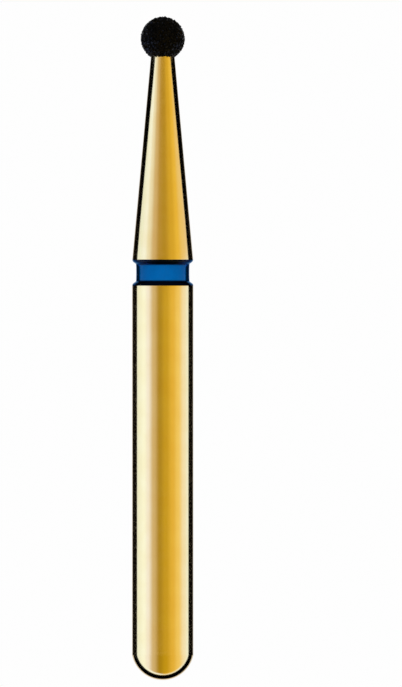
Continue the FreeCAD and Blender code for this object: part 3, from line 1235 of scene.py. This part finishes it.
@dataclass
class NeckCards(Card):
    """A curved card on each side of the neck, whose front edge draws a line of even width along it.

    The neck is slimmer at its tip, so the same width of line takes in more of the room there.

    Attributes:
        blank: the blank whose neck they serve.
        line: width of the dark line along the neck's edge.
        distance: from the bur's axis to the cards.
        inner: their back edge, in degrees from straight behind.
        rows: stretches along a card's height.
        columns: stretches round it.
    """

    blank: TurnedBlank
    line: float = 0.116 * MM
    distance: float = 10 * MM
    inner: float = 50.0
    rows: int = 24
    columns: int = 12

    def front_edge(self, height: float) -> Point:
        """Where the neck, at the inner edge of its line, mirrors the cards' front edge.

        Args:
            height: a height on the neck.

        Returns:
            The angle from straight behind, in radians, and the height on the card.
        """
        blank = self.blank
        radius = blank.neck_radius(height)
        lean = math.asin(1 - self.line / radius)
        taper = math.atan((blank.shank_radius - blank.neck_tip_radius) / blank.neck_length)
        climb = math.asin(math.cos(lean) * math.sin(2 * taper))
        way = self.distance - radius * math.cos(lean)
        off_back = math.pi - 2 * lean + math.asin((radius - self.line) / self.distance)
        return off_back, height + way * math.tan(climb)

    def build(self) -> None:
        """Puts both cards up."""
        build = bmesh.new()
        blank = self.blank
        rise = blank.neck_length
        heights = (blank.neck_base + rise * row / self.rows for row in range(self.rows + 1))
        edges = [self.front_edge(height) for height in heights]
        for side in (-1, 1):
            lines = [self._line(build, side, *edge) for edge in edges]
            for lower, upper in zip(lines, lines[1:]):
                for corners in zip(lower, lower[1:], upper[1:], upper):
                    build.faces.new(corners)
        material, tree = new_material("black_side_card")
        tree.add("ShaderNodeOutputMaterial", {"Surface": self.black(tree)})
        self.put_up("neck_cards", build, material)

    def _line(
        self, build: bmesh.types.BMesh, side: int, off_back: float, height: float
    ) -> list[bmesh.types.BMVert]:
        """One level line of a card, from its back edge to its front edge."""
        inner = math.radians(self.inner)
        span = off_back - inner
        turns = (inner + span * column / self.columns for column in range(self.columns + 1))
        places = ((side * math.sin(turn), math.cos(turn)) for turn in turns)
        return [build.verts.new((self.distance * x, self.distance * y, height)) for x, y in places]


@dataclass(frozen=True)
class CardEdge:
    """An edge of the floor card, bent round in the middle and straight further out.

    Attributes:
        nose: where it crosses the middle, back from the bur's axis.
        bend: how gently it bends there.
        sweep: how far it falls back for each step to the side.
    """

    nose: float
    bend: float
    sweep: float

    def passed(self, tree: Tree, place: bpy.types.NodeOutputs) -> Socket:
        """Adds how far back from the edge a place lies and returns that output."""
        falls = tree.math("MULTIPLY", place["X"], self.sweep)
        span = tree.math("SQRT", tree.math("MULTIPLY_ADD", falls, falls, self.bend**2))
        return tree.math("SUBTRACT", place["Y"], tree.math("ADD", span, self.nose - self.bend))


@dataclass
class FloorCard(Card):
    """A dark swept-back strip of card on the floor under the butt.

    It carries the dark line on round the dome.

    Attributes:
        size: length of the sheet that holds it.
        drop: how far under the butt it lies.
        front: its edge towards the camera.
        back: its edge away from the camera.
        fade: how softly both fade.
        full: distance from the bur to which it is quite dark.
        end: distance at which it ends.
    """

    size: float = 18 * MM
    drop: float = 0.001 * MM
    front: CardEdge = CardEdge(nose=-0.374 * MM, bend=0.4 * MM, sweep=0.48)
    back: CardEdge = CardEdge(nose=-0.157 * MM, bend=1.286 * MM, sweep=1.75)
    fade: float = 0.04 * MM
    full: float = 4 * MM
    end: float = 8 * MM

    def build(self) -> None:
        """Lays the card."""
        build = bmesh.new()
        bmesh.ops.create_grid(build, x_segments=1, y_segments=1, size=self.size / 2)
        bmesh.ops.translate(build, vec=(0.0, 0.0, -self.drop), verts=build.verts)
        self.put_up("floor_card", build, self._strip())

    def _strip(self) -> bpy.types.Material:
        """Black card on the strip, and clear round it."""
        material, tree = new_material("black_floor_card")
        here = tree.add("ShaderNodeTexCoord").outputs["Object"]
        place = tree.split(here)
        half = self.fade / 2
        behind_front = tree.remap(self.front.passed(tree, place), -half, half)
        before_back = tree.remap(self.back.passed(tree, place), -half, half, 1.0, 0.0)
        near = tree.remap(tree.vector("LENGTH", here, output="Value"), self.full, self.end, 1.0, 0.0)
        cover = tree.math("MULTIPLY", tree.math("MULTIPLY", behind_front, before_back), near)
        clear = tree.add("ShaderNodeBsdfTransparent").outputs[0]
        mixed = tree.add("ShaderNodeMixShader", {0: cover, 1: clear, 2: self.black(tree)}).outputs[0]
        tree.add("ShaderNodeOutputMaterial", {"Surface": mixed})
        return material


@dataclass
class Studio:
    """Pale studio: a wall of light and flags for reflections, soft light, a pale floor and a camera.

    Attributes:
        neck_cards: the dark cards beside the neck.
        wall: the light that metal and gloss mirror.
        flags: the dark flags behind.
        floor_card: the dark card under the butt.
        ceiling: the light that they mirror from above.
        ceiling_edge: elevations, in degrees, between which the wall turns into the ceiling.
        backdrop: what the camera sees behind the bur.
        fill: soft light from all sides, for paint and floor.
        keys: further soft light from the camera's side and from straight behind.
        keys_reach: angles from those two, in degrees, over which it fades.
        top: further soft light from above.
        top_reach: angles from straight up, in degrees, over which it fades.
        floor_radius: the floor's radius.
        floor_segments: straight stretches of its rim.
        floor_drop: how far under the butt it lies.
        floor_colour: its paint.
        floor_roughness: how dull that is.
        picture_width: the picture's width, in pixels.
        picture_height: its height.
        pixels_per_mm: the picture's scale.
        axis_pixel: the picture's column of the bur's axis.
        butt_pixel: the picture's row of the butt's lowest point.
        camera_distance: from the bur's axis to the camera.
        camera_range: nearest and furthest distance that it sees.
    """

    neck_cards: NeckCards
    wall: Wall = field(default_factory=Wall)
    flags: Flags = field(default_factory=Flags)
    floor_card: FloorCard = field(default_factory=FloorCard)
    ceiling: Colour = (0.02, 0.02, 0.022)
    ceiling_edge: Point = (20.0, 30.0)
    backdrop: Colour = (0.99, 0.99, 0.99)
    fill: Colour = (0.25, 0.25, 0.25)
    keys: Colour = (3.5, 3.5, 3.5)
    keys_reach: Point = (22.0, 34.0)
    top: Colour = (2.9, 2.9, 2.9)
    top_reach: Point = (24.0, 38.0)
    floor_radius: float = 300 * MM
    floor_segments: int = 128
    floor_drop: float = 0.002 * MM
    floor_colour: Colour = (0.88, 0.88, 0.875)
    floor_roughness: float = 0.9
    picture_width: int = 402
    picture_height: int = 687
    pixels_per_mm: float = 38.25
    axis_pixel: float = 162.75
    butt_pixel: float = 680.04
    camera_distance: float = 60 * MM
    camera_range: Point = (1 * MM, 1000 * MM)

    def light(self) -> None:
        """Builds the world: one light for what mirrors, one for paint and floor, and the backdrop."""
        world = bpy.data.worlds.new("studio")
        bpy.context.scene.world = world
        world.use_nodes = True
        tree = Tree(world.node_tree)
        seen = tree.add("ShaderNodeTexCoord").outputs["Generated"]
        ray = tree.add("ShaderNodeLightPath").outputs
        lit = tree.blend(ray["Is Glossy Ray"], self._soft_light(tree, seen), self._mirrored(tree, seen))
        shown = tree.blend(ray["Is Camera Ray"], lit, self.backdrop)
        glow = tree.add("ShaderNodeBackground", {"Color": shown, "Strength": 1.0}).outputs[0]
        tree.add("ShaderNodeOutputWorld", {"Surface": glow})

    def _mirrored(self, tree: Tree, seen: Socket) -> Socket:
        """The wall, its flags and the ceiling, as a mirror shows them."""
        parts = tree.split(seen)
        bearing = tree.math("ARCTAN2", parts["X"], tree.math("MULTIPLY", parts["Y"], -1.0))
        rise = tree.math("ARCSINE", parts["Z"])
        wall = self.wall.glow(tree, seen, rise, bearing)
        flagged = tree.blend(self.flags.cover(tree, rise, bearing), wall, self.flags.light)
        overhead = tree.remap(rise, *map(math.radians, self.ceiling_edge))
        return tree.blend(overhead, flagged, self.ceiling)

    def _soft_light(self, tree: Tree, seen: Socket) -> Socket:
        """The fill light with the key and top lights over it."""
        parts = tree.split(seen)
        lamps = (
            (tree.math("ABSOLUTE", parts["Y"]), self.keys_reach, self.keys),
            (parts["Z"], self.top_reach, self.top),
        )
        light = self.fill
        for towards, reach, colour in lamps:
            inner, outer = (math.cos(math.radians(angle)) for angle in reach)
            light = tree.blend(tree.remap(towards, outer, inner), light, colour)
        return light

    def lay_floor(self) -> None:
        """Makes the round pale floor that the butt stands on."""
        build = bmesh.new()
        bmesh.ops.create_circle(
            build, cap_ends=True, segments=self.floor_segments, radius=self.floor_radius
        )
        bmesh.ops.translate(build, vec=(0.0, 0.0, -self.floor_drop), verts=build.verts)
        floor = new_object("floor", new_mesh("floor", build))
        floor.visible_glossy = False
        floor.visible_diffuse = False
        material, tree = new_material("pale_floor")
        paint = {"Base Color": self.floor_colour, "Roughness": self.floor_roughness}
        shader = tree.add("ShaderNodeBsdfPrincipled", paint)
        tree.add("ShaderNodeOutputMaterial", {"Surface": shader.outputs[0]})
        floor.data.materials.append(material)

    def aim(self) -> None:
        """Sets up the camera square to the bur, with the picture's framing."""
        data = bpy.data.cameras.new("camera")
        data.type = "ORTHO"
        data.sensor_fit = "VERTICAL"
        data.ortho_scale = self.picture_height / self.pixels_per_mm * MM
        data.clip_start, data.clip_end = self.camera_range
        camera = new_object("camera", data)
        right = (self.picture_width / 2 - self.axis_pixel) / self.pixels_per_mm * MM
        up = (self.butt_pixel - self.picture_height / 2) / self.pixels_per_mm * MM
        camera.location = (right, -self.camera_distance, up)
        camera.rotation_euler = (math.pi / 2, 0.0, 0.0)
        bpy.context.scene.camera = camera

    def build(self) -> None:
        """Lights, floor, camera and a plain view transform."""
        bpy.context.scene.view_settings.view_transform = "Standard"
        self.light()
        self.lay_floor()
        self.floor_card.build()
        self.neck_cards.build()
        self.aim()


def main() -> None:
    """Builds the bur's pieces in order, dresses them and sets up the studio."""
    logging.basicConfig(level=logging.INFO, format="%(name)s: %(message)s")
    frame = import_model()
    effects = Effects()
    blank = TurnedBlank(shank_radius=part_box(Node.BLANK.value)[1].x)
    blank.build(GoldPlating().make(effects))
    band = ColourBand(blank, radius=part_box(Node.RING.value)[1].x)
    band.build(BandLacquer(middle=blank.groove_middle, half_width=band.half_face).make(effects))
    head = GritHead(blank, bond_radius=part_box(Node.BOND.value)[1].x)
    grains = frame["nodes"][Node.GRAINS.value]
    head.build(grains, BlackNickel().make(effects), BlackDiamond().make(effects))
    Studio(NeckCards(blank)).build()


if __name__ == "__main__":
    main()
